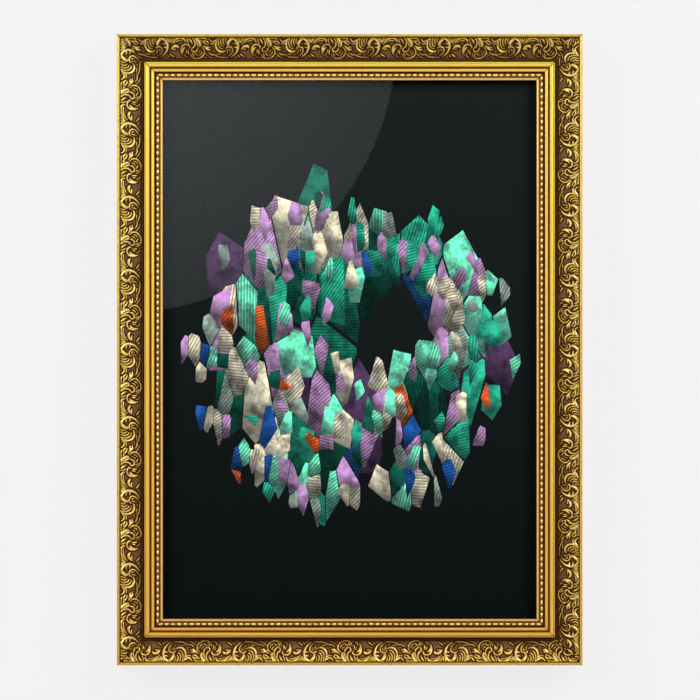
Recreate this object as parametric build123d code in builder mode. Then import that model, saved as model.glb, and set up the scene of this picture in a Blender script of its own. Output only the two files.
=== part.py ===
from build123d import *
import os

# An ornate gilded picture frame, hung upright on a wall. All sizes are in millimetres.
# X runs to the viewer's right, Z runs up and the picture faces -Y.
# The origin lies on the wall, behind the middle of the picture.

# Picture, and the sheets stacked behind the lip
picture_width = 350.0
picture_height = 500.0
picture_play = 1.0  # gap at each edge of the sheets
glass_thickness = 2.0
print_thickness = 0.3
card_thickness = 2.4
board_thickness = 3.0
stack_play = 0.3  # room between the backing board and the back of the rails

# Moulding: "inwards" is measured from the outer edge, "height" from the back of the rail
rail_width = 42.0
rail_depth = 28.0  # back of the rail to the crest of the outer bead
rebate_width = 6.0  # how far the lip covers the sheets

# Outer side of the moulding, from the back forwards
base_band = 5.0
base_quirk = 0.8
ovolo_height = 3.4
ovolo_bulge = 0.6
ovolo_lean = 0.6
cove_height = 7.8
cove_depth = 1.5
side_set = 1.2  # setback of the side band
side_step = 0.7  # ledge under the side band
side_bulge = 0.35
bead_quirk = 0.6
bead_width = 2.1
bead_rise = 2.0

# Scoop that carries the pressed ornament
bead_fillet = 0.8  # plain strip between the outer bead and the ornament
channel_drop = 2.8  # ornament below the bead's crest, at the outer edge
channel_fall = 3.3  # ornament below the lip's height, at the inner edge
channel_sag = 2.4
ornament_thickness = 2.6

# Inner members, from the scoop to the sight edge
ledge_width = 1.0
ledge_rise = 0.8  # above the lip
torus_width = 4.1
torus_side = 0.5  # upright foot of the torus, above the ledge
torus_rise = 2.1  # above its foot
inner_quirk = 0.7
inner_bead_width = 3.6
inner_bead_rise = 1.5
inner_bead_foot = 1.1  # above the lip
groove_width = 1.0  # between the inner bead and the pearls
groove_depth = 1.7  # below the lip
pearl_gap = 1.0  # between the pearls and the lip
lip_width = 2.2
lip_height = 13.9
lip_round = 0.6
mitre_spare = 2.0  # length of each bar past its mitre, cut away

# Pearl row
pearl_radius = 1.45
pearl_length = 4.3
pearl_pitch = 5.65
pearl_link_radius = 0.7
pearl_base = 1.0  # thickness of the strip under the pearls
pearl_margin = 0.15  # strip past the pearls, each side

# V-nails across each mitre
nail_leg = 6.0
nail_thickness = 0.6
nail_length = 7.0
nail_first = 9.0  # from the outer edges
nail_second = 18.0

# Pan-head screws
screw_radius = 1.5
screw_length = 10.0
screw_tip = 2.5
screw_point = 0.3  # radius of the blunt point
head_radius = 2.8
head_height = 1.8
head_round = 1.0
slot_length = 3.2
slot_width = 0.7
slot_depth = 0.9

# Turn buttons
button_reach = 14.0  # pivot to the centre of the tip
button_eye = 5.2
button_tip = 3.8
button_thickness = 1.2
button_round = 0.4
button_rib = 0.6
button_rib_width = 2.4
button_rib_taper = 20.0  # degrees
button_setback = 8.0  # pivot to the rebate's wall
button_lift = 0.1  # running gap on the rail and under the screw head
pivot_play = 0.06

# Strap hangers with D-rings
hanger_drop = 115.0  # ring's axis below the top of the frame
hanger_inset = 18.0
strap_thickness = 0.8  # one layer of the folded strap
strap_width = 9.0
strap_land = 0.9  # flat left between the rounded corners of its end
strap_screw = 6.0  # ring's axis to the screw
strap_play = 0.1
ring_wire = 1.0
ring_half_width = 8.0
ring_side = 4.0
ring_bend = 2.0
ring_split = 0.2

# Wall bumpers
bumper_radius = 6.0
bumper_height = 4.5
bumper_round = 1.5
bumper_inset = 32.0
bumper_rise = 18.0

# Worked-out places
rebate_depth = glass_thickness + print_thickness + card_thickness + board_thickness + stack_play
rebate_wall = rail_width - rebate_width
outer_width = picture_width + 2 * (picture_play + rebate_wall)
outer_height = picture_height + 2 * (picture_play + rebate_wall)
back = -bumper_height
front_way = Vector(0, -1, 0)
rear_way = Vector(0, 1, 0)
up_way = Vector(0, 0, 1)

bead_outer = side_set + bead_quirk / 2
bead_inner = bead_outer + bead_width
bead_foot = rail_depth - bead_rise
channel_outer = bead_inner + bead_fillet
lip_outer = rail_width - lip_width
pearl_axis = lip_outer - pearl_gap - pearl_radius
inner_bead_inner = pearl_axis - pearl_radius - groove_width
inner_bead_outer = inner_bead_inner - inner_bead_width
torus_inner = inner_bead_outer - inner_quirk
torus_outer = torus_inner - torus_width
channel_inner = torus_outer - ledge_width
groove_floor = lip_height - groove_depth
ledge_height = lip_height + ledge_rise
bead_foot_height = lip_height + inner_bead_foot
channel_outer_height = rail_depth - channel_drop
channel_inner_height = lip_height - channel_fall

# Each rail: name, middle of its outer edge, way inwards and outer length
sides = [
    ("top", Vector(0, back, outer_height / 2), Vector(0, 0, -1), outer_width),
    ("bottom", Vector(0, back, -outer_height / 2), Vector(0, 0, 1), outer_width),
    ("left", Vector(-outer_width / 2, back, 0), Vector(1, 0, 0), outer_height),
    ("right", Vector(outer_width / 2, back, 0), Vector(-1, 0, 0), outer_height),
]


def section_plane(middle, inward):
    """Cross-section of a rail: x runs inwards, y towards the front."""
    return Plane(origin=middle, x_dir=inward, z_dir=inward.cross(front_way))


def rear_plane(x, z, towards):
    """Back of the rails at x and z: local x runs towards, local z to the wall."""
    return Plane(origin=(x, back, z), x_dir=towards, z_dir=rear_way)


def cut_mitres(middle, inward, length):
    """Cut both ends of the bar at 45 degrees through the frame's outer corners."""
    along = inward.cross(front_way)
    for end in (-1, 1):
        corner = middle + along * (end * length / 2)
        split(bisect_by=Plane(origin=corner, z_dir=along * end + inward), keep=Keep.BOTTOM)


def scoop_arc(drop):
    """The scoop's hollow arc, lowered by drop."""
    start = Vector(channel_outer, channel_outer_height - drop)
    end = Vector(channel_inner, channel_inner_height - drop)
    hollow = (end - start).normalized().rotate(Axis.Z, -90) * channel_sag
    return ThreePointArc(start, (start + end) / 2 + hollow, end)


os.makedirs("parts", exist_ok=True)


def save(part, name):
    """Name a finished piece and write its STEP file."""
    part.label = name
    export_step(part, f"parts/{name}.step")


# Turn button places: name, x, z and way inwards
across = picture_width / 4
along_side = picture_height / 4
button_x = outer_width / 2 - rebate_wall + button_setback
button_z = outer_height / 2 - rebate_wall + button_setback
button_places = [
    ("top_left", -across, button_z, (0, 0, -1)),
    ("top_right", across, button_z, (0, 0, -1)),
    ("bottom_left", -across, -button_z, (0, 0, 1)),
    ("bottom_right", across, -button_z, (0, 0, 1)),
    ("left_upper", -button_x, along_side, (1, 0, 0)),
    ("left_lower", -button_x, -along_side, (1, 0, 0)),
    ("right_upper", button_x, along_side, (-1, 0, 0)),
    ("right_lower", button_x, -along_side, (-1, 0, 0)),
]
pivots = [rear_plane(x, z, towards) for name, x, z, towards in button_places]

# Hanger places: ring's axis, with local x towards -X and local y up
hanger_z = outer_height / 2 - hanger_drop
hanger_places = [
    ("left", rear_plane(hanger_inset - outer_width / 2, hanger_z, (-1, 0, 0))),
    ("right", rear_plane(outer_width / 2 - hanger_inset, hanger_z, (-1, 0, 0))),
]
strap_holes = [
    Plane(origin=place.origin - up_way * strap_screw, x_dir=place.x_dir, z_dir=rear_way)
    for name, place in hanger_places
]

# V-nails: two across each glued mitre, driven in flush from the back
with BuildPart() as v_nail:
    with BuildSketch():
        with PolarLocations(0, 2, start_angle=-45, angular_range=180):
            Rectangle(nail_leg, nail_thickness, align=(Align.MIN, Align.CENTER))
    extrude(amount=-nail_length)

nail_places = []
for nail_inset in (nail_first, nail_second):
    for side_x in (-1, 1):
        for side_z in (-1, 1):
            nail_x = side_x * (outer_width / 2 - nail_inset)
            nail_z = side_z * (outer_height / 2 - nail_inset)
            nail_places.append(rear_plane(nail_x, nail_z, (-side_x, 0, -side_z)))

with BuildPart() as corner_v_nails:
    with Locations(*nail_places):
        add(v_nail.part)
save(corner_v_nails.part, "corner_v_nails")

# Rails: gilded wooden mouldings, mitred and glued at the corners
for name, middle, inward, length in sides:
    with BuildPart() as rail:
        with BuildSketch(section_plane(middle, inward)):
            with BuildLine():
                base = Polyline((rebate_wall, 0), (0, 0), (0, base_band), (base_quirk, base_band))
                ovolo_top = (base_quirk + ovolo_lean, base_band + ovolo_height)
                ovolo_middle = (base_quirk - ovolo_bulge, base_band + ovolo_height / 2)
                ThreePointArc(base @ 1, ovolo_middle, ovolo_top)
                cove_top = (side_set + side_step, base_band + ovolo_height + cove_height)
                cove_middle = (ovolo_top[0] + cove_depth, ovolo_top[1] + cove_height / 2)
                ThreePointArc(ovolo_top, cove_middle, cove_top)
                side_foot = (side_set, cove_top[1])
                side_top = (side_set, bead_foot - bead_quirk)
                Line(cove_top, side_foot)
                side_middle = (side_set - side_bulge, (side_foot[1] + side_top[1]) / 2)
                ThreePointArc(side_foot, side_middle, side_top)
                quirk = (side_set + bead_quirk, bead_foot - bead_quirk / 2)
                Polyline(side_top, quirk, (bead_outer, bead_foot))
                bead_crest = ((bead_outer + bead_inner) / 2, rail_depth)
                ThreePointArc((bead_outer, bead_foot), bead_crest, (bead_inner, bead_foot))
                seat = scoop_arc(ornament_thickness)
                Polyline((bead_inner, bead_foot), (channel_outer, bead_foot), seat @ 0)
                torus_foot = (torus_outer, ledge_height + torus_side)
                Polyline(
                    seat @ 1, (channel_inner, ledge_height), (torus_outer, ledge_height), torus_foot
                )
                torus_crest = ((torus_outer + torus_inner) / 2, torus_foot[1] + torus_rise)
                torus_end = (torus_inner, bead_foot_height + inner_quirk)
                ThreePointArc(torus_foot, torus_crest, torus_end)
                inner_foot = (inner_bead_outer, bead_foot_height)
                Polyline(torus_end, (torus_inner, bead_foot_height), inner_foot)
                inner_crest = (
                    (inner_bead_outer + inner_bead_inner) / 2, bead_foot_height + inner_bead_rise
                )
                inner_end = (inner_bead_inner, bead_foot_height)
                ThreePointArc(inner_foot, inner_crest, inner_end)
                lip_foot = (lip_outer, lip_height - lip_round)
                Polyline(
                    inner_end,
                    (inner_bead_inner, groove_floor),
                    (lip_outer, groove_floor),
                    lip_foot,
                )
                lip_end = (rail_width, lip_height - lip_round)
                ThreePointArc(lip_foot, (rail_width - lip_width / 2, lip_height), lip_end)
                Polyline(lip_end, (rail_width, rebate_depth), (rebate_wall, rebate_depth), base @ 0)
            make_face()
        extrude(amount=length / 2 + mitre_spare, both=True)
        cut_mitres(middle, inward, length)
        add(corner_v_nails.part, mode=Mode.SUBTRACT)
        with Locations(*pivots):
            Hole(screw_radius, depth=screw_length - button_thickness - 2 * button_lift)
        with Locations(*strap_holes):
            Hole(screw_radius, depth=screw_length - 2 * strap_thickness)
    save(rail.part, f"rail_{name}")

# Ornament: a strip of pressed composition, glued into the scoop of each rail
for name, middle, inward, length in sides:
    with BuildPart() as ornament:
        with BuildSketch(section_plane(middle, inward)):
            with BuildLine():
                face_arc = scoop_arc(0)
                seat = scoop_arc(ornament_thickness)
                Line(face_arc @ 0, seat @ 0)
                Line(face_arc @ 1, seat @ 1)
            make_face()
        extrude(amount=length / 2 + mitre_spare, both=True)
        cut_mitres(middle, inward, length)
    save(ornament.part, f"ornament_{name}")

# Pearl row: half-round beads on a flat base, pressed as one strip and glued into its groove
for name, middle, inward, length in sides:
    along = inward.cross(front_way)
    base_point = middle + inward * pearl_axis + front_way * groove_floor
    axis_point = base_point + front_way * pearl_base
    span = length - 2 * pearl_axis
    pearl_count = round(span / pearl_pitch)
    step = span / pearl_count
    row_end = span / 2 + mitre_spare
    with BuildPart() as pearls:
        with BuildSketch(section_plane(base_point, inward)):
            base_width = 2 * (pearl_radius + pearl_margin)
            Rectangle(base_width, pearl_base, align=(Align.CENTER, Align.MIN))
        extrude(amount=row_end, both=True)
        with BuildSketch(Plane(origin=axis_point, x_dir=along, z_dir=front_way)):
            with BuildLine():
                link_start = Vector(-row_end, pearl_link_radius)
                Polyline((row_end, 0), (-row_end, 0), link_start)
                for number in range(pearl_count):
                    centre = -span / 2 + (number + 0.5) * step
                    near_end = Vector(centre - pearl_length / 2, pearl_link_radius)
                    far_end = Vector(centre + pearl_length / 2, pearl_link_radius)
                    Line(link_start, near_end)
                    ThreePointArc(near_end, (centre, pearl_radius), far_end)
                    link_start = far_end
                Polyline(link_start, (row_end, pearl_link_radius), (row_end, 0))
            make_face()
        revolve(axis=Axis(axis_point, along), revolution_arc=180)
        cut_mitres(middle, inward, length)
    save(pearls.part, f"pearl_row_{name}")


def sheet(front_height, thickness):
    """A sheet of the picture's size, its front face at front_height above the rails' back."""
    with BuildPart() as layer:
        with BuildSketch(Plane(origin=(0, back - front_height, 0), x_dir=(1, 0, 0), z_dir=rear_way)):
            Rectangle(picture_width, picture_height)
        extrude(amount=thickness)
    return layer.part


# Sheets in the rebate, from the front: glass, print, filler card, backing board
sheet_front = rebate_depth
for name, thickness in (
    ("glass", glass_thickness),
    ("art_print", print_thickness),
    ("filler_card", card_thickness),
    ("backing_board", board_thickness),
):
    save(sheet(sheet_front, thickness), name)
    sheet_front -= thickness

# Pan-head screw with a cross slot, head up along z, seat at z = 0
with BuildPart() as pan_screw:
    Cylinder(head_radius, head_height, align=(Align.CENTER, Align.CENTER, Align.MIN))
    fillet(pan_screw.edges().sort_by(Axis.Z)[-1], head_round)
    with Locations((0, 0, head_height)):
        Box(slot_length, slot_width, 2 * slot_depth, mode=Mode.SUBTRACT)
        Box(slot_width, slot_length, 2 * slot_depth, mode=Mode.SUBTRACT)
    shank_length = screw_length - screw_tip
    Cylinder(screw_radius, shank_length, align=(Align.CENTER, Align.CENTER, Align.MAX))
    with Locations((0, 0, -shank_length)):
        Cone(screw_point, screw_radius, screw_tip, align=(Align.CENTER, Align.CENTER, Align.MAX))

# Turn button: a flat steel tongue with a pressed rib, lying over the board's edge
with BuildPart() as turn_button:
    with BuildSketch(Plane.XY.offset(button_lift)):
        Circle(button_eye)
        with Locations((button_reach, 0)):
            Circle(button_tip)
        make_hull()
        Circle(screw_radius + pivot_play, mode=Mode.SUBTRACT)
    extrude(amount=button_thickness)
    fillet(turn_button.edges().group_by(Axis.Z)[-1].sort_by(SortBy.LENGTH)[1:], button_round)
    rib_start = head_radius + button_rib_width / 2
    with BuildSketch(Plane.XY.offset(button_lift + button_thickness)):
        with Locations(((rib_start + button_reach) / 2, 0)):
            SlotCenterToCenter(button_reach - rib_start, button_rib_width)
    extrude(amount=button_rib, taper=button_rib_taper)

for place, pivot in zip(button_places, pivots):
    with BuildPart() as placed_button:
        with Locations(pivot):
            add(turn_button.part)
    save(placed_button.part, f"turn_button_{place[0]}")

button_seat = button_thickness + 2 * button_lift
with BuildPart() as turn_button_screws:
    with Locations(*[pivot.offset(button_seat) for pivot in pivots]):
        add(pan_screw.part)
save(turn_button_screws.part, "turn_button_screws")

# Strap hangers: a steel strap folded round the bar of its D-ring and screwed to the side rail
knuckle_bore = ring_wire + pivot_play
knuckle_radius = knuckle_bore + strap_thickness
ring_height = knuckle_radius + strap_play
for (name, place), hole in zip(hanger_places, strap_holes):
    with BuildPart() as strap:
        with BuildSketch(Plane(origin=place.origin, x_dir=up_way, z_dir=place.x_dir)):
            strap_length = strap_screw + strap_width / 2
            Rectangle(strap_length, 2 * strap_thickness, align=(Align.MAX, Align.MIN))
            with Locations((0, ring_height)):
                Circle(knuckle_radius)
                Circle(knuckle_bore, mode=Mode.SUBTRACT)
        extrude(amount=strap_width / 2, both=True)
        strap_corners = strap.edges().filter_by(Axis.Y).group_by(Axis.Z)[0]
        fillet(strap_corners, (strap_width - strap_land) / 2)
        with Locations(hole.offset(2 * strap_thickness)):
            Hole(screw_radius + strap_play, depth=2 * strap_thickness)
    save(strap.part, f"hanger_strap_{name}")

    with BuildPart() as ring:
        with BuildLine(place.offset(ring_height)) as wire_line:
            bar = Line((ring_split / 2, 0), (ring_half_width - ring_bend, 0))
            bend = JernArc(bar @ 1, bar % 1, ring_bend, 90)
            side = Line(bend @ 1, (ring_half_width, ring_side))
            bow = JernArc(side @ 1, side % 1, ring_half_width, 180)
            far_side = Line(bow @ 1, (-ring_half_width, ring_bend))
            far_bend = JernArc(far_side @ 1, far_side % 1, ring_bend, 90)
            Line(far_bend @ 1, (-ring_split / 2, 0))
        wire_path = wire_line.wire()
        with BuildSketch(Plane(origin=wire_path @ 0, z_dir=wire_path % 0)):
            Circle(ring_wire)
        sweep(path=wire_path)
    save(ring.part, f"hanger_ring_{name}")

with BuildPart() as hanger_screws:
    with Locations(*[hole.offset(2 * strap_thickness) for hole in strap_holes]):
        add(pan_screw.part)
save(hanger_screws.part, "hanger_screws")

# Rubber bumpers that keep the lower corners off the wall
for name, side_x in (("left", -1), ("right", 1)):
    bumper_x = side_x * (outer_width / 2 - bumper_inset)
    bumper_z = bumper_rise - outer_height / 2
    with BuildPart(rear_plane(bumper_x, bumper_z, (1, 0, 0))) as bumper:
        Cylinder(bumper_radius, bumper_height, align=(Align.CENTER, Align.CENTER, Align.MIN))
        fillet(bumper.edges().sort_by(Axis.Y)[-1], bumper_round)
    save(bumper.part, f"wall_bumper_{name}")
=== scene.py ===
import math

import bmesh
import bpy
import numpy as np
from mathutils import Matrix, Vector


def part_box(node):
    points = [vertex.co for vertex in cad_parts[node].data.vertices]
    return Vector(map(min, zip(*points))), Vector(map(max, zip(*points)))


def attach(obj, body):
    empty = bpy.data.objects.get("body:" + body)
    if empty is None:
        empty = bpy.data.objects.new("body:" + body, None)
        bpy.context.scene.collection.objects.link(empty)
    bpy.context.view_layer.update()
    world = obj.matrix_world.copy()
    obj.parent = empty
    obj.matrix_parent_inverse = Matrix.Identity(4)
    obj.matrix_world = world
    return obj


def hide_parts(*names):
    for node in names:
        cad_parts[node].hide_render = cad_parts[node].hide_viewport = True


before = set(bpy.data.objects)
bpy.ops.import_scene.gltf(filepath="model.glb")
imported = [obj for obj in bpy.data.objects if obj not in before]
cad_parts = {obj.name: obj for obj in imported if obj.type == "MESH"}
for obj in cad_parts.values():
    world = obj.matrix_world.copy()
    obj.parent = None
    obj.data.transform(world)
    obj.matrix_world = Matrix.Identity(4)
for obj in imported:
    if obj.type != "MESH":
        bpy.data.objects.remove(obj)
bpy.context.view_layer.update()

# Rails: four lengths of moulded pine, mitred and glued, primed with umber and brushed with satin gold.
# Umber stays in the quirks and shows in short strokes where the brush skipped; the back and the rebate
# are bare wood. Painted shade darkens the quirks, the grooves, the side's cove and the torus's inner flank;
# a painted highlight pales the lip, and a painted warm shade deepens the gold towards the lower edge.
half_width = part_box("rail_right")[1].x
half_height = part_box("rail_top")[1].z
rail_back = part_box("rail_top")[1].y
rail_width = half_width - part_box("rail_right")[0].x
# Lengths in mm from here on, up from the rail's back or inwards from its outer edge.
rail_height = 28.0
rebate_wall = 36.0
rebate_depth = 8.0
side_depth = 3.4
sides = ("top", "bottom", "left", "right")
satin_gloss = 0.06


def paint(red, green, blue):
    """Linear colour of a finish as it looks, from 0-255 display values."""
    return [((c / 255 + 0.055) / 1.055) ** 2.4 if c > 10 else c / 3294 for c in (red, green, blue)] + [1.0]


def put(tree, kind, inputs=None, **settings):
    """Add one shader node, with its settings and with each input linked or set."""
    made = tree.nodes.new("ShaderNode" + kind)
    for key, value in settings.items():
        setattr(made, key, value)
    for key, value in (inputs or {}).items():
        if isinstance(value, bpy.types.NodeSocket):
            tree.links.new(value, made.inputs[key])
        else:
            made.inputs[key].default_value = value
    return made


def maths(tree, operation, first, second=0.0, clamp=False):
    """One sum on sockets or numbers."""
    return put(tree, "Math", {0: first, 1: second}, operation=operation, use_clamp=clamp).outputs[0]


def scale_to(tree, value, low, high, new_low=0.0, new_high=1.0):
    """Map a socket from low-high to new_low-new_high, held at the ends."""
    ends = {"From Min": low, "From Max": high, "To Min": new_low, "To Max": new_high}
    return put(tree, "MapRange", {"Value": value, **ends}).outputs[0]


def blend_colours(tree, share, first, second, kind="MIX"):
    """Mix two colours by share."""
    mixed = put(tree, "Mix", {0: share, 6: first, 7: second}, data_type="RGBA", blend_type=kind)
    return mixed.outputs[2]


def ramp(tree, value, stops, interpolation="LINEAR"):
    """Colours along a 0-1 socket: stops are (place, colour)."""
    made = put(tree, "ValToRGB", {0: value})
    made.color_ramp.interpolation = interpolation
    while len(made.color_ramp.elements) < len(stops):
        made.color_ramp.elements.new(1.0)
    for element, (place, colour) in zip(made.color_ramp.elements, stops):
        element.position = place
        element.color = colour
    return made.outputs[0]


def profile(tree, value, length, stops):
    """A grey level along a length: stops are (distance, level) in the same unit."""
    return ramp(tree, maths(tree, "DIVIDE", value, length), [(d / length, (g, g, g, 1)) for d, g in stops])


def noise(tree, vector, scale, detail=2.0, rough=0.5):
    """Grey noise on a vector."""
    grain = {"Vector": vector, "Scale": scale, "Detail": detail, "Roughness": rough}
    return put(tree, "TexNoise", grain).outputs[0]


def scaled(tree, vector, share):
    """A vector or a colour times a number."""
    return put(tree, "VectorMath", {0: vector, "Scale": share}, operation="SCALE").outputs[0]


def piece_place(tree):
    """Place on a piece, in metres."""
    return put(tree, "TexCoord").outputs["Object"]


def start_finish(name):
    """A new material: returns it with its node tree and shader."""
    material = bpy.data.materials.new(name)
    material.use_nodes = True
    return material, material.node_tree, material.node_tree.nodes["Principled BSDF"]


def set_finish(tree, shader, colour, roughness, metal=0.0, bump=None, strength=0.2, depth=0.0002):
    """Connect colour, roughness, metal and bump to the shader."""
    for name, value in (("Base Color", colour), ("Roughness", roughness), ("Metallic", metal)):
        if isinstance(value, bpy.types.NodeSocket):
            tree.links.new(value, shader.inputs[name])
        else:
            shader.inputs[name].default_value = value
    if bump is not None:
        relief = put(tree, "Bump", {"Height": bump, "Strength": strength, "Distance": depth})
        tree.links.new(relief.outputs[0], shader.inputs["Normal"])


def dress(name, material):
    """Give a CAD node its finish."""
    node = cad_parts[name]
    node.data.materials.clear()
    node.data.materials.append(material)


def rail_places(tree):
    """Millimetres inwards from the outer edge, up from the back, along the rail and off the mitre."""
    millimetres = scaled(tree, piece_place(tree), 1000.0)
    axes = put(tree, "SeparateXYZ", {0: millimetres}).outputs
    from_side = maths(tree, "SUBTRACT", half_width * 1000, maths(tree, "ABSOLUTE", axes["X"]))
    from_end = maths(tree, "SUBTRACT", half_height * 1000, maths(tree, "ABSOLUTE", axes["Z"]))
    inwards = maths(tree, "MINIMUM", from_side, from_end)
    upright = maths(tree, "LESS_THAN", from_side, from_end)
    along = put(tree, "Mix", {0: upright, 2: axes["X"], 3: axes["Z"]}).outputs[0]
    height = maths(tree, "SUBTRACT", rail_back * 1000, axes["Y"])
    mitre = maths(tree, "ABSOLUTE", maths(tree, "SUBTRACT", from_side, from_end))
    return inwards, height, along, mitre


def brushed(tree, inwards, height, along, run, across):
    """A vector for streaks that lie along the rail."""
    stretches = ((along, run), (inwards, across), (height, across))
    parts = [maths(tree, "MULTIPLY", place, stretch) for place, stretch in stretches]
    return put(tree, "CombineXYZ", dict(enumerate(parts))).outputs[0]


def paint_warm_shade_below(tree, colour, tone):
    """Paint a warmer, deeper shade into a colour from near the frame's top down to its lower edge: painted
    shade.
    """
    level = put(tree, "SeparateXYZ", {0: piece_place(tree)}).outputs["Z"]
    share = scale_to(tree, level, half_height * tone_start, -half_height * tone_end)
    return blend_colours(tree, share, colour, tone, "MULTIPLY")


tone_start, tone_end = 0.75, 0.9
pale_lip_highlight = paint(250, 238, 168)
gold_bead = paint(226, 198, 92)
gold_light = paint(255, 230, 106)
gold_deep = paint(251, 215, 90)
gold_toned = paint(164, 104, 24)
gold_side = paint(226, 178, 40)
# Multiplier for the painted warm shade, deepest at the frame's lower edge.
warm_painted_shade = (0.92, 0.76, 0.84, 1.0)
bead_foot = 24.4
lip_edge, lip_crown = 39.9, 40.5
front_metal, flank_metal = 0.58, 0.25
front_brush, flank_brush = 0.15, 1.0
bare_matt = 0.35
mitre_spread, mitre_dark = 0.9, 0.65
umber = paint(58, 29, 6)
bare_pine = paint(214, 178, 128)
pine_grain = paint(176, 132, 84)

gilded_wood, tree, shader = start_finish("gilded_wood")
inwards, height, along, mitre = rail_places(tree)
# Umber along the front, with painted shade: darker in the quirks, the groove and down the sight edge, a
# little over the outer bead, and toned to orange-brown and dark down the torus's inner flank.
front_umber_and_shade = profile(tree, inwards, rail_width * 1000, [
    (0.0, 0.08), (3.0, 0.1), (3.5, 0.3), (4.0, 0.85), (25.2, 0.9), (25.5, 0.0), (29.1, 0.03), (29.7, 0.3),
    (30.3, 0.58), (30.9, 0.85), (31.5, 0.7), (32.0, 0.4), (32.4, 0.08), (33.8, 0.05), (34.4, 0.5),
    (34.8, 0.95), (35.8, 0.92), (36.3, 0.6), (39.2, 0.5), (40.2, 0.4), (40.7, 0.1), (41.3, 0.06), (41.7, 0.3),
    (42.0, 0.6),
])
# Umber up the outer side, with painted shade: darker in its grooves, in the cove and in the quirk under the
# outer bead.
side_umber_and_shade = profile(tree, height, rail_height, [
    (0.0, 0.3), (0.8, 0.05), (4.5, 0.05), (5.0, 0.75), (5.6, 0.1), (7.9, 0.05), (8.5, 0.4), (10.0, 0.08),
    (11.6, 0.1), (13.4, 0.26), (15.2, 0.2), (16.0, 0.8), (16.6, 0.1), (24.4, 0.05), (25.0, 0.1), (25.6, 0.7),
    (26.2, 0.1), (28.0, 0.02),
])
on_side = maths(tree, "LESS_THAN", inwards, side_depth)
umber_and_shade_line = put(tree, "Mix", {0: on_side, 2: front_umber_and_shade, 3: side_umber_and_shade}).outputs[0]
streaks = noise(tree, brushed(tree, inwards, height, along, 0.16, 1.9), 1.0, 2.0)
brush_skip = scale_to(tree, on_side, 0.0, 1.0, front_brush, flank_brush)
skips = maths(tree, "MULTIPLY", scale_to(tree, streaks, 0.66, 0.73, 0.0, 0.75), brush_skip)
pits = noise(tree, brushed(tree, inwards, height, along, 0.2, 4.2), 1.0, 1.0)
dashes = maths(tree, "MULTIPLY", scale_to(tree, pits, 0.63, 0.68, 0.0, 0.8), brush_skip)
skips = maths(tree, "MAXIMUM", skips, dashes)
ragged = noise(tree, brushed(tree, inwards, height, along, 0.3, 0.3), 1.0)
mitre_width = maths(tree, "MULTIPLY", ragged, mitre_spread)
mitre_line = maths(tree, "MULTIPLY", maths(tree, "LESS_THAN", mitre, mitre_width), mitre_dark)
tone = maths(tree, "MAXIMUM", maths(tree, "MAXIMUM", umber_and_shade_line, skips), mitre_line)
cloud = noise(tree, brushed(tree, inwards, height, along, 0.03, 0.4), 1.0, 3.0)
gold = blend_colours(tree, scale_to(tree, cloud, 0.3, 0.7), gold_deep, gold_light)
on_flank = maths(tree, "MULTIPLY", on_side, maths(tree, "LESS_THAN", height, bead_foot))
gold = blend_colours(tree, on_side, gold, gold_bead)
gold = blend_colours(tree, maths(tree, "MULTIPLY", on_flank, 0.9), gold, gold_side)
# Painted warm shade on the gold, deeper towards the lower edge.
gold = paint_warm_shade_below(tree, gold, warm_painted_shade)
# The lip is painted paler towards its crown: a painted highlight.
lip_highlight_share = scale_to(tree, inwards, lip_edge, lip_crown, 0.0, 0.5)
gold = blend_colours(tree, lip_highlight_share, gold, pale_lip_highlight)
gilding_and_painted_light = blend_colours(tree, scale_to(tree, tone, 0.0, 0.5), gold, gold_toned)
gilding_and_painted_light = blend_colours(tree, scale_to(tree, tone, 0.5, 1.0), gilding_and_painted_light, umber)
grain = noise(tree, brushed(tree, inwards, height, along, 0.04, 0.9), 1.0, 4.0)
pine = blend_colours(tree, scale_to(tree, grain, 0.35, 0.65), pine_grain, bare_pine)
behind = maths(tree, "LESS_THAN", height, 0.15)
in_rebate = maths(tree, "MULTIPLY", maths(tree, "GREATER_THAN", inwards, rebate_wall - 0.1),
                  maths(tree, "LESS_THAN", height, rebate_depth + 0.1))
bare = maths(tree, "MAXIMUM", behind, in_rebate)
colour = blend_colours(tree, bare, gilding_and_painted_light, pine)
sheen = scale_to(tree, on_flank, 0.0, 1.0, front_metal, flank_metal)
metal = maths(tree, "MULTIPLY", maths(tree, "SUBTRACT", 1.0, maths(tree, "MAXIMUM", tone, bare)), sheen)
matt = maths(tree, "MULTIPLY", maths(tree, "MAXIMUM", bare, on_flank), bare_matt)
roughness = maths(tree, "ADD", scale_to(tree, streaks, 0.3, 0.7, 0.28, 0.37), matt)
set_finish(tree, shader, colour, roughness, metal, streaks, 0.09, 0.00025)
shader.inputs["Specular IOR Level"].default_value = satin_gloss
for side in sides:
    dress("rail_" + side, gilded_wood)

# Ornament: a strip of pressed composition, glued into the hollow of each rail and mitred with it.
# One repeat holds a large acanthus scroll, a sprig, an arching stem over a smaller scroll, and leaves.
# The ground is stained umber, and gold is rubbed over the raised leaves. The palest crest gold is partly a
# painted highlight, and painted light and shade vary the gold across the strip and from rail to rail.
repeat = 64.0
strip_outer, strip_inner = 4.4, 25.5
strip_top, strip_low = 25.2, 10.6
strip_hollow = 2.4
strip_thickness = 2.6
groove_level = -1.1
ground_level = -0.75
tallest = 2.1
fullness = 1.12
ground_share, leaf_share = 0.25, 0.3
painted_shade_edge = 22.8
tile_columns = 168
tile_rows = 56
back_rows = 6

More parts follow.
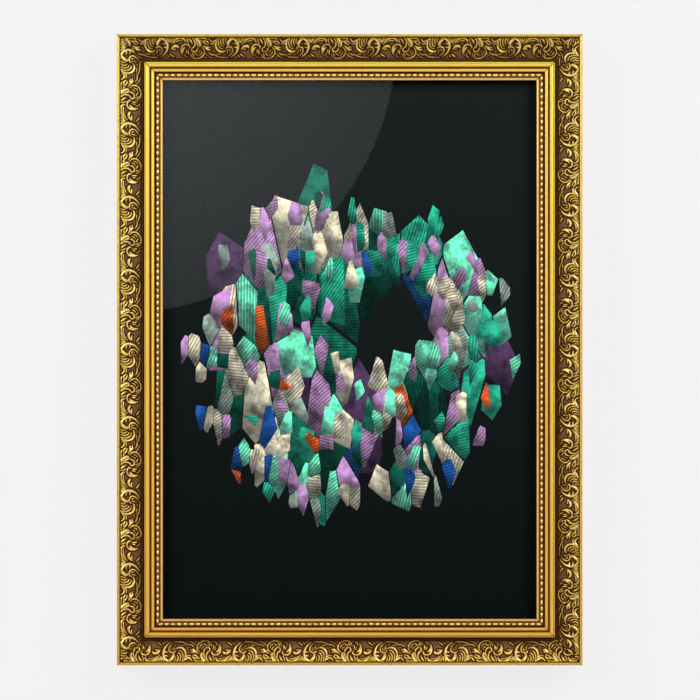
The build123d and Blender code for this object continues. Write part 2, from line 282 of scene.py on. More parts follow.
# Each stroke of the carved pattern: (along the rail, inwards from the outer edge, half width), in mm.
large_scroll = [
    [(3.6, 6.4, 0.45), (2.6, 9.2, 0.75), (2.5, 11.6, 0.85), (3.1, 13.4, 0.95), (4.3, 14.9, 1.0),
     (6.2, 16.0, 1.0), (8.2, 16.3, 0.8), (10.4, 15.8, 0.55), (11.4, 15.3, 0.3)],
    [(5.6, 5.4, 0.35), (4.8, 7.8, 0.5), (4.8, 10.0, 0.55), (5.6, 12.1, 0.55), (7.1, 13.5, 0.45),
     (9.2, 13.9, 0.3)],
    [(7.8, 5.2, 0.4), (6.9, 7.4, 0.6), (7.0, 9.5, 0.6), (7.9, 11.2, 0.5), (9.6, 12.0, 0.3)],
    [(10.2, 5.0, 0.4), (9.1, 7.2, 0.65), (9.3, 9.0, 0.6), (10.3, 10.2, 0.35)],
    [(12.4, 5.0, 0.4), (11.4, 6.8, 0.5), (11.5, 8.6, 0.35)],
    [(16.8, 6.2, 0.7), (14.8, 7.2, 1.2), (13.7, 8.9, 1.3), (13.4, 10.4, 0.9), (14.4, 10.9, 0.4)],
    [(14.6, 5.0, 0.4), (17.0, 5.0, 0.6), (19.2, 5.9, 0.8), (21.2, 7.3, 0.95), (22.4, 9.2, 1.05),
     (22.8, 11.4, 1.1), (22.5, 13.4, 1.05), (21.8, 15.3, 0.95), (20.8, 17.1, 0.8), (19.2, 18.7, 0.6),
     (17.3, 20.2, 0.45), (15.6, 21.2, 0.25)],
    [(21.6, 9.4, 0.7), (20.0, 9.6, 0.55), (18.4, 9.2, 0.3)],
    [(22.2, 12.5, 0.8), (20.4, 12.6, 0.6), (18.8, 12.4, 0.3)],
    [(11.7, 13.9, 0.35), (12.2, 12.7, 0.5), (13.8, 12.1, 0.55), (15.6, 12.2, 0.6), (17.1, 13.1, 0.6),
     (17.8, 14.7, 0.6), (17.5, 16.4, 0.55), (16.4, 18.0, 0.45), (14.8, 19.3, 0.35), (13.4, 20.0, 0.25)],
    [(14.0, 14.4, 0.3), (15.2, 14.3, 0.4), (15.7, 15.4, 0.4), (14.9, 16.5, 0.25)],
    [(13.0, 14.3, 0.3), (13.1, 16.2, 0.4), (12.2, 18.4, 0.3)],
    [(0.4, 18.6, 0.35), (3.4, 20.3, 0.5), (6.4, 21.1, 0.5), (10.0, 21.2, 0.45), (13.4, 21.4, 0.3)],
    [(3.0, 18.6, 0.35), (5.0, 18.3, 0.45), (7.0, 18.6, 0.3)],
]
sprig = [
    [(21.6, 4.8, 0.35), (23.1, 6.6, 0.5), (24.5, 8.9, 0.35)],
    [(24.2, 4.7, 0.4), (24.6, 6.8, 0.55), (24.9, 8.8, 0.35)],
    [(26.9, 4.7, 0.4), (26.2, 6.4, 0.55), (25.3, 8.9, 0.35)],
    [(29.4, 4.6, 0.3), (28.0, 6.0, 0.4), (26.6, 7.8, 0.25)],
    [(22.3, 19.3, 0.35), (23.6, 20.6, 0.5)],
    [(24.6, 18.4, 0.5), (26.4, 19.6, 0.6), (28.4, 21.0, 0.35)],
]
arching_stem = [
    [(25.8, 10.7, 0.3), (28.0, 8.0, 0.5), (30.0, 6.3, 0.65), (32.5, 5.2, 0.7), (35.0, 5.0, 0.7),
     (37.2, 5.5, 0.7), (38.5, 6.7, 0.7), (38.9, 8.2, 0.6)],
    [(28.2, 9.2, 0.25), (30.2, 7.9, 0.4), (32.6, 7.2, 0.45), (35.0, 7.1, 0.4), (36.6, 7.3, 0.25)],
    [(25.3, 14.6, 0.3), (26.6, 13.0, 0.7), (28.2, 11.8, 0.9), (30.2, 11.4, 1.05), (31.9, 12.0, 0.85),
     (32.8, 13.2, 0.4)],
    [(26.2, 14.5, 0.4), (27.8, 14.0, 0.6), (29.3, 14.2, 0.45), (30.0, 14.8, 0.25)],
]
small_scroll = [
    [(36.4, 19.6, 0.35), (35.3, 17.6, 0.6), (35.0, 15.5, 0.75), (35.3, 13.0, 0.75), (36.5, 11.2, 0.65),
     (38.5, 10.2, 0.6), (40.5, 10.2, 0.6), (42.2, 11.2, 0.6), (42.9, 12.7, 0.55), (42.0, 13.6, 0.35)],
    [(38.8, 12.8, 0.35), (37.1, 13.5, 0.9), (36.3, 15.2, 0.8), (35.9, 17.6, 0.4)],
    [(40.0, 14.6, 0.35), (39.6, 16.4, 0.5), (39.4, 17.8, 0.25)],
    [(41.5, 14.8, 0.4), (41.2, 16.8, 0.65), (41.7, 18.8, 0.35)],
    [(38.0, 18.2, 0.3), (38.6, 20.2, 0.4), (40.6, 21.4, 0.3)],
    [(45.0, 4.6, 0.4), (46.6, 6.1, 0.55), (47.5, 8.0, 0.65), (47.5, 10.4, 0.7), (46.5, 12.4, 0.65),
     (45.0, 13.3, 0.6), (44.4, 14.7, 0.6), (45.2, 16.0, 0.65), (47.0, 16.3, 0.65), (48.7, 15.6, 0.65),
     (49.8, 13.9, 0.6), (50.0, 12.7, 0.35)],
    [(40.6, 5.2, 0.35), (40.7, 7.2, 0.55), (42.0, 9.2, 0.35)],
    [(42.2, 5.4, 0.35), (44.0, 7.2, 0.75), (45.1, 9.6, 0.4)],
]
ring_scroll = [
    [(53.8, 12.6, 0.35), (55.7, 14.4, 0.55), (56.1, 17.1, 0.6), (54.9, 19.6, 0.6), (52.6, 21.3, 0.6),
     (49.6, 22.2, 0.6), (46.6, 21.9, 0.55), (44.5, 20.5, 0.45), (43.5, 18.7, 0.35), (43.4, 17.4, 0.25)],
    [(45.2, 17.6, 0.4), (45.6, 19.2, 0.55), (46.8, 20.3, 0.3)],
    [(47.4, 18.0, 0.55), (49.0, 18.9, 0.5), (50.0, 20.2, 0.3)],
    [(49.8, 17.6, 0.3), (51.6, 16.2, 0.45), (52.2, 14.6, 0.3)],
    [(51.0, 19.6, 0.3), (53.0, 18.2, 0.5), (54.0, 15.8, 0.3)],
]
leaves = [
    [(47.4, 4.6, 0.5), (49.8, 5.8, 0.95), (51.6, 8.0, 1.25), (52.3, 10.2, 1.15), (51.6, 12.0, 0.6)],
    [(48.6, 6.6, 0.35), (49.5, 9.2, 0.55), (50.3, 11.6, 0.6)],
    [(54.6, 11.2, 0.3), (56.6, 12.2, 0.65), (58.2, 13.4, 1.15), (59.5, 14.6, 0.9), (60.2, 15.4, 0.4)],
    [(58.2, 12.5, 0.65), (60.0, 12.5, 0.6), (61.7, 13.0, 0.3)],
    [(59.4, 14.2, 0.6), (61.2, 14.5, 0.5), (62.8, 14.9, 0.25)],
    [(50.8, 5.0, 0.4), (54.0, 5.0, 0.55), (57.2, 5.3, 0.55), (58.4, 6.3, 0.35)],
    [(53.2, 7.0, 0.3), (55.0, 8.2, 0.45), (57.2, 9.7, 0.5), (59.2, 10.4, 0.4)],
    [(55.4, 7.5, 0.4), (58.0, 7.5, 0.5), (59.9, 8.8, 0.5), (59.4, 10.2, 0.3)],
    [(59.0, 17.0, 0.3), (61.4, 18.5, 0.6), (63.6, 19.0, 0.55), (65.4, 18.4, 0.3)],
    [(57.0, 18.0, 0.3), (58.4, 19.2, 0.4), (60.6, 20.8, 0.4), (63.4, 21.8, 0.3)],
    [(60.6, 5.6, 0.4), (62.2, 7.4, 0.55), (64.0, 7.9, 0.6), (66.6, 6.6, 0.55), (69.4, 5.2, 0.35)],
    [(61.4, 9.5, 0.3), (64.4, 9.6, 0.5), (66.4, 8.2, 0.35)],
]
border = [[(-1.0, 23.6, 0.3), (repeat + 1.0, 23.6, 0.3)]]


def flowing(points, steps=7):
    """A smooth line through a stroke's points."""
    knots = np.array([points[0], *points, points[-1]])
    t = np.linspace(0, 1, steps, endpoint=False)[:, None]
    runs = []
    for a, b, c, e in zip(knots, knots[1:], knots[2:], knots[3:]):
        bend, twist = 2 * a - 5 * b + 4 * c - e, 3 * b - a - 3 * c + e
        runs.append(b + ((c - a) * t + bend * t**2 + twist * t**3) / 2)
    return np.vstack([*runs, knots[-1:]])


def carve_tile():
    """One repeat's relief, in mm off the strip's face, and how much gold it carries, dimmed along the inner
    border as painted shade: rows run inwards, columns along.
    """
    columns = np.arange(tile_columns) * repeat / tile_columns
    rows = np.linspace(strip_outer, strip_inner, tile_rows + 1)
    grid_u, grid_d = (axis.ravel() for axis in np.meshgrid(columns, rows))
    raised, rubbed = np.zeros(grid_u.size), np.zeros(grid_u.size)
    off_edge = np.full(grid_u.size, 9.0)
    for stroke in large_scroll + sprig + arching_stem + small_scroll + ring_scroll + leaves + border:
        line = flowing(stroke)
        for shift in (-repeat, 0.0, repeat):
            start, end = line[:-1] + (shift, 0, 0), line[1:] + (shift, 0, 0)
            run = end - start
            du, dd = grid_u[:, None] - start[:, 0], grid_d[:, None] - start[:, 1]
            share = (du * run[:, 0] + dd * run[:, 1]) / (run[:, 0] ** 2 + run[:, 1] ** 2 + 1e-9)
            share = share.clip(0, 1)
            gap = np.hypot(du - share * run[:, 0], dd - share * run[:, 1])
            half = fullness * (start[:, 2] + share * run[:, 2]) + 0.1
            leafed = np.minimum(0.36 + 0.54 * half, 1.0)
            crest = np.minimum(0.7 + 0.9 * half, tallest)
            round_over = np.sqrt((1 - (gap / half) ** 2).clip(0))
            raised = np.maximum(raised, (crest * round_over).max(1))
            rubbed = np.maximum(rubbed, (leafed * round_over**1.6).max(1))
            off_edge = np.minimum(off_edge, (gap - half).min(1))
    ground = groove_level + (ground_level - groove_level) * (off_edge / 1.1).clip(0, 1)
    relief = (ground + raised).reshape(tile_rows + 1, tile_columns)
    relief = (np.roll(relief, 1, 1) + 2 * relief + np.roll(relief, -1, 1)) / 4
    relief[1:-1] = (relief[:-2] + 2 * relief[1:-1] + relief[2:]) / 4
    relief[[0, -1]] = 0.0
    open_ground = ground_share * ((off_edge - 0.5) / 0.8).clip(0, 1)
    gilding_and_painted_light = np.where(rubbed > 0, leaf_share + (1 - leaf_share) * rubbed, open_ground)
    gilding_and_painted_light = gilding_and_painted_light.reshape(relief.shape)
    gilding_and_painted_light[0] = 0.0
    # Gold dimmed along the inner border: painted shade beside the inner wall.
    gilding_and_painted_light[rows > painted_shade_edge] *= 0.7
    return relief, gilding_and_painted_light


relief_tile, gilding_and_light_tile = carve_tile()
strip_rows = np.linspace(strip_outer, strip_inner, tile_rows + 1)
chord = np.array([strip_inner - strip_outer, strip_low - strip_top])
arc_radius = (chord @ chord / 4 + strip_hollow**2) / (2 * strip_hollow)
out_of_hollow = np.array([-chord[1], chord[0]]) / np.hypot(*chord)
arc_centre = np.array([strip_outer, strip_top]) + chord / 2 + out_of_hollow * (arc_radius - strip_hollow)


def hollow_height(inwards):
    """Height of the strip's plain face above the rail's back, in mm."""
    return arc_centre[1] - np.sqrt(arc_radius**2 - (inwards - arc_centre[0]) ** 2)


gilded_composition, tree, shader = start_finish("gilded_composition")
ground_stain = paint(123, 91, 62)
groove_stain_and_shade = paint(58, 31, 3)
leaf_flank = paint(136, 94, 26)
leaf_gold = paint(230, 192, 90)
leaf_gold_highlight = paint(255, 236, 146)
# Multiplier for the ornament's painted warm shade towards the lower edge.
leaf_painted_shade = (0.96, 0.88, 0.85, 1.0)
strip_mitre = 0.35
inwards, height, along, mitre = rail_places(tree)
# The gilding attribute: rubbed gold, with painted shade along the inner border and each rail's painted light
# and shade.
leaf_lift_and_light = put(tree, "Attribute", attribute_name="gilding_and_painted_light").outputs["Fac"]
rub = noise(tree, brushed(tree, inwards, height, along, 0.22, 0.22), 1.0, 3.0)
on_leaf = scale_to(tree, leaf_lift_and_light, 0.35, 0.6)
thin_leaf = maths(tree, "MULTIPLY", scale_to(tree, rub, 0.3, 0.7, -0.16, 0.1), on_leaf)
on_raised = scale_to(tree, leaf_lift_and_light, 0.3, 0.45)
# Raised leaves painted lighter towards the outer edge: painted light.
outer_painted_light = maths(tree, "MULTIPLY", scale_to(tree, inwards, 6.0, 14.0, 0.14, 0.0), on_raised)
wear_and_painted_light = maths(tree, "ADD", maths(tree, "ADD", leaf_lift_and_light, thin_leaf), outer_painted_light)
# Dark grooves, brown flanks and gold crests: stain and rubbed gilding, the palest crest gold partly a painted
# highlight.
patina_and_highlight = ramp(tree, wear_and_painted_light, [
    (0.0, groove_stain_and_shade), (0.1, groove_stain_and_shade), (0.2, ground_stain), (0.27, ground_stain), (0.3, groove_stain_and_shade),
    (0.5, leaf_flank), (0.72, leaf_gold), (0.96, leaf_gold_highlight),
])
shadowed = scale_to(tree, inwards, 14.0, 24.0, 0.0, 0.25)
colour = blend_colours(tree, shadowed, patina_and_highlight, groove_stain_and_shade)
mitre_line = maths(tree, "LESS_THAN", mitre, strip_mitre)
colour = blend_colours(tree, mitre_line, colour, groove_stain_and_shade)
metal = scale_to(tree, wear_and_painted_light, 0.45, 0.75, 0.0, 0.5)
fine = noise(tree, brushed(tree, inwards, height, along, 1.4, 1.4), 1.0, 3.0)
stipple = scale_to(tree, fine, 0.35, 0.6, 0.65, 1.1)
# Stippled, then given the painted warm shade towards the lower edge.
colour = paint_warm_shade_below(tree, scaled(tree, colour, stipple), leaf_painted_shade)
set_finish(tree, shader, colour, scale_to(tree, fine, 0.3, 0.7, 0.28, 0.42), metal, fine, 0.2, 0.0002)
shader.inputs["Specular IOR Level"].default_value = satin_gloss

front_way = Vector((0, -1, 0))
# Each rail: way inwards, outer length in mm, place of a large scroll's rim from the middle, repeat, and a
# factor on its gold: painted shade on the top and bottom rails, painted light on the left rail.
strip_places = {
    "top": (Vector((0, 0, -1)), 2000 * half_width, 27.6, repeat, 0.9),
    "right": (Vector((-1, 0, 0)), 2000 * half_height, -120.8, 63.7, 1.0),
    "bottom": (Vector((0, 0, 1)), 2000 * half_width, 42.1, repeat, 0.95),
    "left": (Vector((1, 0, 0)), 2000 * half_height, 6.3, 66.7, 1.05),
}
rim_place = 23.8
for side, (inward, length, rim, own_repeat, painted_side_light) in strip_places.items():
    clockwise = front_way.cross(inward)
    step = own_repeat / tile_columns
    first = math.floor((-length / 2 - rim) / step)
    count = math.ceil(length / step) + 2
    steps = np.arange(first, first + count + 1)
    tile_index = np.round(steps + rim_place / repeat * tile_columns).astype(int) % tile_columns
    relief = relief_tile[:, tile_index]
    ease = hollow_height(strip_rows)
    normal = np.stack([arc_centre[0] - strip_rows, arc_centre[1] - ease]) / arc_radius
    back = np.linspace(strip_inner, strip_outer, back_rows)
    loop_d = np.vstack([strip_rows[:, None] + normal[0][:, None] * relief,
                        np.repeat(back[:, None], count + 1, 1), np.full((1, count + 1), strip_outer)])
    loop_h = np.vstack([ease[:, None] + normal[1][:, None] * relief,
                        np.repeat((hollow_height(back) - strip_thickness)[:, None], count + 1, 1),
                        np.full((1, count + 1), strip_top)])
    loop_gilt_and_light = np.vstack([gilding_and_light_tile[:, tile_index] * painted_side_light, np.zeros((back_rows + 1, count + 1))])
    loop_s = np.repeat((rim + steps * step)[None, :], len(loop_d), 0)
    strip = bmesh.new()
    bmesh.ops.create_grid(strip, x_segments=count, y_segments=len(loop_d) - 1, size=1.0)
    gilt_and_light_layer = strip.verts.layers.float.new("gilding_and_painted_light")
    middle = Vector((0, rail_back, 0)) - inward * (half_height if inward.z else half_width)
    order = np.stack([loop_s, loop_d, loop_h, loop_gilt_and_light], -1).reshape(-1, 4)
    for vertex, (s, d, h, gilt_and_light) in zip(strip.verts, order):
        vertex.co = middle + (clockwise * s + inward * d + front_way * h) * 0.001
        vertex[gilt_and_light_layer] = gilt_and_light
    bmesh.ops.remove_doubles(strip, verts=strip.verts, dist=1e-6)
    for end in (-1, 1):
        corner = middle + clockwise * (end * length / 2000)
        parts = strip.verts[:] + strip.edges[:] + strip.faces[:]
        beyond = clockwise * end + inward
        bmesh.ops.bisect_plane(strip, geom=parts, plane_co=corner, plane_no=beyond, clear_outer=True)
    bmesh.ops.holes_fill(strip, edges=[e for e in strip.edges if e.is_boundary], sides=0)
    bmesh.ops.recalc_face_normals(strip, faces=strip.faces)
    mesh = bpy.data.meshes.new("scroll_strip_" + side)
    strip.to_mesh(mesh)
    strip.free()
    mesh.shade_smooth()
    mesh.materials.append(gilded_composition)
    scrolls = bpy.data.objects.new("scroll_strip_" + side, mesh)
    bpy.context.scene.collection.objects.link(scrolls)
    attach(scrolls, "frame")
    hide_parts("ornament_" + side)

# Pearl rows: half-round beads on a flat base, pressed as one strip for each side and glued in its groove.
# The strip is stained umber, and the crowns of the pearls are gilded and painted paler as a highlight, with
# painted shade low on their sides and a painted warm shade towards the frame's lower edge.
gilded_pearls, tree, shader = start_finish("gilded_pearls")
pearl_gold_and_highlight = paint(250, 220, 132)
# Multiplier for the pearls' painted warm shade towards the lower edge.
pearl_painted_shade = (0.96, 0.88, 0.9, 1.0)
pearl_waist, pearl_crown = 13.85, 14.4
inwards, height, along, mitre = rail_places(tree)
# Paler towards each crown: gilding, partly a painted highlight, with painted shade low on the sides.
crown_gilt_and_highlight = scale_to(tree, height, pearl_waist, pearl_crown, 0.3, 1.0)
rub = noise(tree, brushed(tree, inwards, height, along, 0.4, 0.4), 1.0, 2.0)
gilt_and_light = maths(tree, "MULTIPLY", crown_gilt_and_highlight, scale_to(tree, rub, 0.25, 0.6, 0.5, 1.0))
colour = ramp(tree, gilt_and_light, [(0.1, umber), (0.4, gold_toned), (0.85, pearl_gold_and_highlight)])
# Painted warm shade on the pearls, deeper towards the lower edge.
colour = paint_warm_shade_below(tree, colour, pearl_painted_shade)
set_finish(tree, shader, colour, scale_to(tree, rub, 0.3, 0.7, 0.28, 0.42),
           maths(tree, "MULTIPLY", gilt_and_light, 0.65), rub, 0.15, 0.0002)
for side in sides:
    dress("pearl_row_" + side, gilded_pearls)

# Glass: one sheet of 2 mm float glass, cut to the rebate and held against the back of the lip.
# It carries a trace of dust, and lamplight passes it unbent.
picture_glass, tree, shader = start_finish("picture_glass")
place = piece_place(tree)
dust = noise(tree, place, 260.0, 4.0)
tint = blend_colours(tree, scale_to(tree, dust, 0.4, 0.8), paint(252, 255, 253), paint(244, 250, 247))
set_finish(tree, shader, tint, scale_to(tree, dust, 0.4, 0.8, 0.0, 0.02))
shader.inputs["Transmission Weight"].default_value = 1.0
shader.inputs["IOR"].default_value = 1.45
lamp_ray = put(tree, "LightPath").outputs["Is Shadow Ray"]
clear = put(tree, "BsdfTransparent")
through = put(tree, "MixShader", {0: lamp_ray, 1: shader.outputs[0], 2: clear.outputs[0]})
tree.links.new(through.outputs[0], tree.nodes["Material Output"].inputs["Surface"])
dress("glass", picture_glass)

# Print: a sheet of coated paper printed nearly black, with a crescent of faceted shards in teal, mint,
# lilac and cream. It lies between the glass and the filler card.
print_paper, tree, shader = start_finish("print_paper")
ink_black = paint(34, 40, 42)
ink_night = paint(12, 20, 20)
place = piece_place(tree)
axes = put(tree, "SeparateXYZ", {0: place}).outputs
page = put(tree, "CombineXYZ", {0: axes["X"], 1: axes["Z"]}).outputs[0]
hatch_pitch = 0.0027
hatch_from = 0.4
facet_squeeze = 0.46
facet_gap = 0.03
facet_light = (0.5, 0.85, 0.0)
crescent_middle = (0.02, 0.012)
crescent_lean = (-0.14, -0.12)


def shards(cells, turn, ring, band, keep):
    """One layer of slim facets, kept where they lie on a crescent: its mask, hue and light."""
    slant = {"Rotation": (0, 0, math.radians(turn)), "Scale": (1.0, facet_squeeze, 1.0)}
    slanted = put(tree, "Mapping", {"Vector": page, **slant}).outputs[0]
    cell = put(tree, "TexVoronoi", {"Vector": slanted, "Scale": cells}, voronoi_dimensions="2D")
    edge = put(tree, "TexVoronoi", {"Vector": slanted, "Scale": cells}, voronoi_dimensions="2D",
               feature="DISTANCE_TO_EDGE").outputs["Distance"]
    cell_middle = {"Vector": cell.outputs["Position"], **slant}
    middle = put(tree, "Mapping", cell_middle, vector_type="TEXTURE").outputs[0]
    centre = put(tree, "SeparateXYZ", {0: middle}).outputs
    offsets = [maths(tree, "ADD", centre[axis], -own) for axis, own in zip("XY", crescent_middle)]
    squares = [maths(tree, "POWER", offset, 2.0) for offset in offsets]
    radius = maths(tree, "SQRT", maths(tree, "ADD", *squares))
    leans = [maths(tree, "MULTIPLY", offset, lean) for offset, lean in zip(offsets, crescent_lean)]
    reach = maths(tree, "ADD", band, maths(tree, "ADD", *leans))
    off = maths(tree, "ABSOLUTE", maths(tree, "SUBTRACT", radius, ring))
    inside = maths(tree, "LESS_THAN", off, reach)
    tints = put(tree, "SeparateColor", {0: cell.outputs["Color"]}).outputs
    kept = maths(tree, "LESS_THAN", tints["Green"], keep)
    clear_of_edge = maths(tree, "GREATER_THAN", edge, facet_gap)
    mask = maths(tree, "MULTIPLY", maths(tree, "MULTIPLY", inside, kept), clear_of_edge)
    slope = put(tree, "VectorMath", {0: page, 1: middle}, operation="SUBTRACT").outputs[0]
    facing = put(tree, "VectorMath", {0: slope, 1: facet_light}, operation="DOT_PRODUCT").outputs["Value"]
    lit = scale_to(tree, facing, -0.5 / cells, 0.5 / cells, 0.45, 1.3)
    angle = maths(tree, "MULTIPLY", tints["Blue"], math.pi)
    way = put(tree, "CombineXYZ", {0: maths(tree, "COSINE", angle), 1: maths(tree, "SINE", angle)}).outputs[0]
    along_way = put(tree, "VectorMath", {0: page, 1: way}, operation="DOT_PRODUCT").outputs["Value"]
    lines = maths(tree, "SINE", maths(tree, "MULTIPLY", along_way, 2 * math.pi / hatch_pitch))
    hatch = scale_to(tree, lines, -0.5, 0.3, 0.5, 1.0)
    hatched = maths(tree, "GREATER_THAN", tints["Blue"], hatch_from)
    hatch = put(tree, "Mix", {0: hatched, 2: 1.0, 3: hatch}).outputs[0]
    return mask, tints["Red"], maths(tree, "MULTIPLY", lit, hatch)


deep_inks = [
    (0.0, paint(20, 92, 76)), (0.3, paint(34, 140, 118)), (0.5, paint(104, 72, 116)),
    (0.7, paint(146, 168, 160)), (0.88, paint(26, 60, 96)),
]
bright_inks = [
    (0.0, paint(58, 200, 170)), (0.2, paint(142, 236, 210)), (0.36, paint(208, 168, 212)),
    (0.54, paint(234, 226, 208)), (0.74, paint(24, 110, 92)), (0.84, paint(176, 192, 184)),
    (0.91, paint(44, 108, 190)), (0.965, paint(236, 120, 64)),
]
streak = noise(tree, place, 330.0, 5.0, 0.65)
mottle = noise(tree, place, 75.0, 6.0, 0.62)
flecks = maths(tree, "MULTIPLY", scale_to(tree, streak, 0.35, 0.65, 0.75, 1.1),
               scale_to(tree, mottle, 0.36, 0.56, 0.4, 1.1))
colour = blend_colours(tree, scale_to(tree, axes["Z"], -0.25, 0.25), ink_night, ink_black)
# Each layer: cells in a metre, turn, radius and half width of the crescent, share kept, and its inks.
layers = (
    (30.0, 25.0, 0.088, 0.04, 0.75, deep_inks), (44.0, -40.0, 0.088, 0.038, 0.6, bright_inks),
    (70.0, 65.0, 0.092, 0.045, 0.5, bright_inks), (110.0, 10.0, 0.096, 0.052, 0.3, bright_inks),
)
for cells, turn, ring, band, keep, inks in layers:
    mask, hue, light = shards(cells, turn, ring, band, keep)
    ink = ramp(tree, hue, inks, "CONSTANT")
    shaded = scaled(tree, ink, maths(tree, "MULTIPLY", flecks, light))
    colour = blend_colours(tree, mask, colour, shaded)
set_finish(tree, shader, colour, scale_to(tree, streak, 0.3, 0.7, 0.55, 0.65), 0.0, streak, 0.05, 0.0001)
shader.inputs["Specular IOR Level"].default_value = satin_gloss
dress("art_print", print_paper)

# Filler card and backing board: grey card keeps the print flat, and a hardboard sheet closes the back.
# The board's outer face carries the fine screen pattern left by its press.
filler_cardboard, tree, shader = start_finish("filler_cardboard")
place = piece_place(tree)
pulp = noise(tree, place, 420.0, 4.0)
colour = blend_colours(tree, scale_to(tree, pulp, 0.3, 0.7), paint(168, 158, 142), paint(196, 187, 170))
set_finish(tree, shader, colour, 0.85, 0.0, pulp, 0.2, 0.0001)
dress("filler_card", filler_cardboard)

hardboard, tree, shader = start_finish("hardboard")
place = piece_place(tree)
fibre = noise(tree, place, 300.0, 5.0)
blotch = noise(tree, place, 14.0, 3.0)
brown = blend_colours(tree, scale_to(tree, fibre, 0.3, 0.7), paint(112, 76, 46), paint(150, 108, 70))
brown = blend_colours(tree, scale_to(tree, blotch, 0.35, 0.7, 0.0, 0.5), brown, paint(122, 84, 54))
wires = {"Vector": place, "Scale": 130.0, "Distortion": 0.6}
waves = [put(tree, "TexWave", wires, bands_direction=axis).outputs[1] for axis in ("X", "Z")]
screen = maths(tree, "MULTIPLY", waves[0], waves[1])
set_finish(tree, shader, brown, 0.75, 0.0, maths(tree, "ADD", screen, fibre), 0.35, 0.0002)
dress("backing_board", hardboard)

# Metal fittings: V-nails across the mitres, turn buttons on pan-head screws, strap hangers and D-rings.
# The nails and screws are bright zinc, and the buttons, straps and rings are brass-plated steel.
scratch_scale = (160.0, 160.0, 2400.0)


def metal_finish(name, light, dark, rough, scale):
    """Plated steel, clouded and finely scratched."""
    material, tree, shader = start_finish(name)
    place = piece_place(tree)
    cloud = noise(tree, place, scale, 3.0)
    stretched = put(tree, "Mapping", {0: place, 3: scratch_scale}).outputs[0]
    scratch = noise(tree, stretched, 1.0, 3.0)
    colour = blend_colours(tree, scale_to(tree, cloud, 0.3, 0.7), dark, light)
    set_finish(tree, shader, colour, scale_to(tree, scratch, 0.3, 0.7, rough - 0.07, rough + 0.1), 1.0,
               scratch, 0.08, 0.0001)
    return material


nail_steel = metal_finish("nail_steel", paint(196, 198, 202), paint(150, 152, 156), 0.38, 320.0)
screw_steel = metal_finish("screw_steel", paint(214, 214, 210), paint(176, 176, 172), 0.3, 260.0)
brassed_steel = metal_finish("brassed_steel", paint(232, 200, 128), paint(196, 158, 84), 0.32, 180.0)
ring_steel = metal_finish("ring_steel", paint(236, 206, 138), paint(204, 168, 96), 0.26, 220.0)
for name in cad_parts:
    if name == "corner_v_nails":
        dress(name, nail_steel)
    elif name.endswith("_screws"):
        dress(name, screw_steel)
    elif name.startswith(("turn_button_", "hanger_strap_")):
        dress(name, brassed_steel)
    elif name.startswith("hanger_ring_"):
        dress(name, ring_steel)

# Wall bumpers: two round pads of dark moulded rubber with a matt skin.
# They are stuck to the lower corners of the back, so that the frame hangs level.
bumper_rubber, tree, shader = start_finish("bumper_rubber")
place = piece_place(tree)
matt = noise(tree, place, 900.0, 3.0)
colour = blend_colours(tree, scale_to(tree, matt, 0.3, 0.7), paint(30, 30, 31), paint(48, 48, 49))
set_finish(tree, shader, colour, scale_to(tree, matt, 0.3, 0.7, 0.6, 0.8), 0.0, matt, 0.2, 0.0001)
for side in ("left", "right"):
    dress("wall_bumper_" + side, bumper_rubber)

# Wall and floor: the plain pale wall that the frame hangs on, and a wide pale floor well below it.
# The wall shows only from the front, and lets lamplight and the views from behind through.
wall_span = 7.0
wall_gap = 0.0005
wall_evenness = 0.88
floor_level = -2.0
floor_span = 40.0
floor_evenness = 0.92


def stage_plane(name, width, height, place, turn):
    """A flat stage panel."""
    panel = bmesh.new()
    bmesh.ops.create_grid(panel, x_segments=1, y_segments=1, size=0.5)
    bmesh.ops.scale(panel, vec=(width, height, 1), verts=panel.verts)
    mesh = bpy.data.meshes.new(name)
    panel.to_mesh(mesh)
    panel.free()
    made = bpy.data.objects.new(name, mesh)
    made.location = place
    made.rotation_euler = turn
    bpy.context.scene.collection.objects.link(made)
    return made


def even_out(tree, shader, colour, share):
    """A stage finish that looks evenly pale, directly and in reflections, and keeps a little shadow."""
    even = put(tree, "Emission", {"Color": colour, "Strength": 1.0})
    rays = put(tree, "LightPath").outputs
    seen = maths(tree, "MAXIMUM", rays["Is Camera Ray"], rays["Is Glossy Ray"])
    seen = maths(tree, "MAXIMUM", seen, rays["Is Transmission Ray"])
    seen = maths(tree, "MULTIPLY", seen, share)
    return put(tree, "MixShader", {0: seen, 1: shader.outputs[0], 2: even.outputs[0]})


pale_wall, tree, shader = start_finish("pale_wall")
wall_white = paint(243, 243, 244)
set_finish(tree, shader, wall_white, 0.9)
shader.inputs["Specular IOR Level"].default_value = 0.0
rear = put(tree, "NewGeometry").outputs["Backfacing"]
lamp_ray = put(tree, "LightPath").outputs["Is Shadow Ray"]
evened = even_out(tree, shader, wall_white, wall_evenness)
open_way = maths(tree, "MAXIMUM", rear, lamp_ray)
clear = put(tree, "BsdfTransparent")
one_sided = put(tree, "MixShader", {0: open_way, 1: evened.outputs[0], 2: clear.outputs[0]})
tree.links.new(one_sided.outputs[0], tree.nodes["Material Output"].inputs["Surface"])
wall_place = (0, wall_gap, floor_level + wall_span / 2)
wall = stage_plane("wall", wall_span, wall_span, wall_place, (math.pi / 2, 0, 0))
wall.data.materials.append(pale_wall)

pale_floor, tree, shader = start_finish("pale_floor")
floor_white = paint(243, 243, 243)
set_finish(tree, shader, floor_white, 0.9)
evened = even_out(tree, shader, floor_white, floor_evenness)
tree.links.new(evened.outputs[0], tree.nodes["Material Output"].inputs["Surface"])
floor = stage_plane("floor", floor_span, floor_span, (0, 0, floor_level), (0, 0, 0))
floor.data.materials.append(pale_floor)

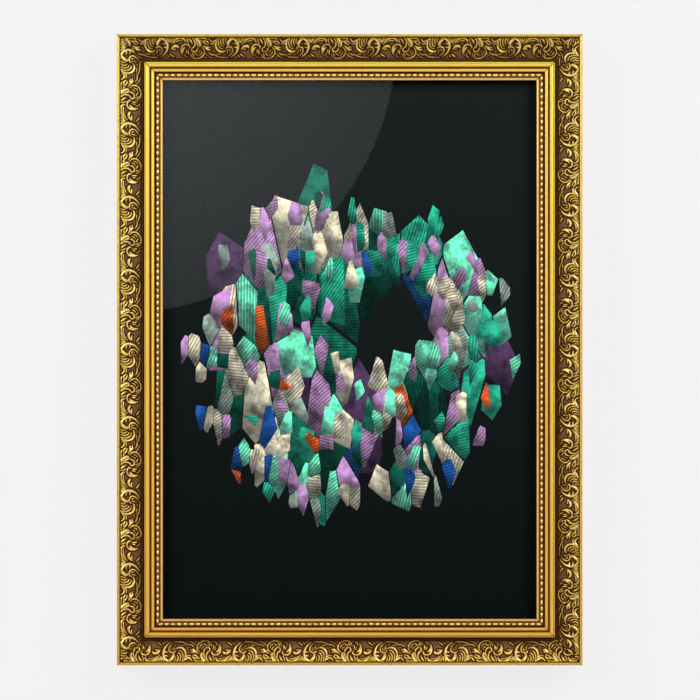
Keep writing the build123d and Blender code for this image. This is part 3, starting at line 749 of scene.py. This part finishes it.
# Studio light: two wide soft lamps high on the right and left, and a pair behind for the back.
# A tall narrow dark card stands behind the camera with one dim round reflector, so the glass stays clear
# but for that reflection.
# Each lamp: place, width and power.
lamps = {
    "key_lamp": ((2.0, -1.6, 1.4), 1.6, 60.0),
    "fill_lamp": ((-2.0, -1.6, 1.2), 1.6, 48.0),
    "rear_lamp_left": ((-1.6, 2.4, 1.0), 1.8, 56.0),
    "rear_lamp_right": ((1.8, 2.4, 0.6), 1.8, 36.0),
}
card_width, card_height, card_place = 1.1, 4.0, (0, -4.2, 0)
reflector_radius, reflector_core = 0.53, 0.1
reflector_place = (-0.44, -3.3, 0.6)
reflector_bright, reflector_dim = 1.25, 0.6
room_light, room_gloss, backdrop_white = 0.22, 0.8, 0.9


def soft_lamp(name, place, size, power):
    """A square soft lamp aimed at the picture's middle."""
    data = bpy.data.lights.new(name, "AREA")
    data.size = size
    data.energy = power
    lamp = bpy.data.objects.new(name, data)
    lamp.location = place
    lamp.rotation_euler = (-Vector(place)).to_track_quat("-Z", "Y").to_euler()
    bpy.context.scene.collection.objects.link(lamp)


for name, (place, size, power) in lamps.items():
    soft_lamp(name, place, size, power)

dark_card, tree, shader = start_finish("dark_card")
set_finish(tree, shader, paint(22, 22, 22), 0.9)
card = stage_plane("dark_card", card_width, card_height, card_place, (-math.pi / 2, 0, 0))
card.data.materials.append(dark_card)
reflector_glow, tree, shader = start_finish("reflector_glow")
set_finish(tree, shader, (0, 0, 0, 1), 0.9)
from_middle = put(tree, "VectorMath", {0: piece_place(tree)}, operation="LENGTH").outputs["Value"]
glow = scale_to(tree, from_middle, reflector_core, reflector_radius, reflector_bright, reflector_dim)
tree.links.new(glow, shader.inputs["Emission Strength"])
shader.inputs["Emission Color"].default_value = (0.92, 0.98, 1.0, 1)
disc = bmesh.new()
bmesh.ops.create_circle(disc, cap_ends=True, segments=64, radius=reflector_radius)
mesh = bpy.data.meshes.new("reflector")
disc.to_mesh(mesh)
disc.free()
reflector = bpy.data.objects.new("reflector", mesh)
reflector.location = reflector_place
reflector.rotation_euler = (-math.pi / 2, 0, 0)
bpy.context.scene.collection.objects.link(reflector)
mesh.materials.append(reflector_glow)
for panel in (card, reflector):
    panel.visible_camera = False
    panel.visible_diffuse = False
    panel.visible_shadow = False
    panel.visible_transmission = False

world = bpy.data.worlds.new("studio")
world.use_nodes = True
bpy.context.scene.world = world
tree = world.node_tree
backdrop = tree.nodes["Background"]
rays = put(tree, "LightPath").outputs
seen = maths(tree, "MAXIMUM", rays["Is Camera Ray"], rays["Is Transmission Ray"])
room = put(tree, "Mix", {0: rays["Is Glossy Ray"], 2: room_light, 3: room_gloss}).outputs[0]
strength = put(tree, "Mix", {0: seen, 2: room, 3: backdrop_white}).outputs[0]
tree.links.new(strength, backdrop.inputs["Strength"])
backdrop.inputs["Color"].default_value = (1.0, 1.0, 1.0, 1.0)

# Camera: square on to the picture, three metres off, with a long lens.
# The view is a little wider than the frame is tall.
aim_x, aim_y, aim_z = 0.0003, -0.018, -0.0003
view_width = 0.6365
view_distance = 3.0
sensor = 36.0
camera_data = bpy.data.cameras.new("camera")
camera_data.sensor_width = sensor
camera_data.lens = sensor * view_distance / view_width
camera = bpy.data.objects.new("camera", camera_data)
camera.location = (aim_x, aim_y - view_distance, aim_z)
camera.rotation_euler = (math.pi / 2, 0, 0)
bpy.context.scene.collection.objects.link(camera)
bpy.context.scene.camera = camera
bpy.context.scene.view_settings.view_transform = "Standard"
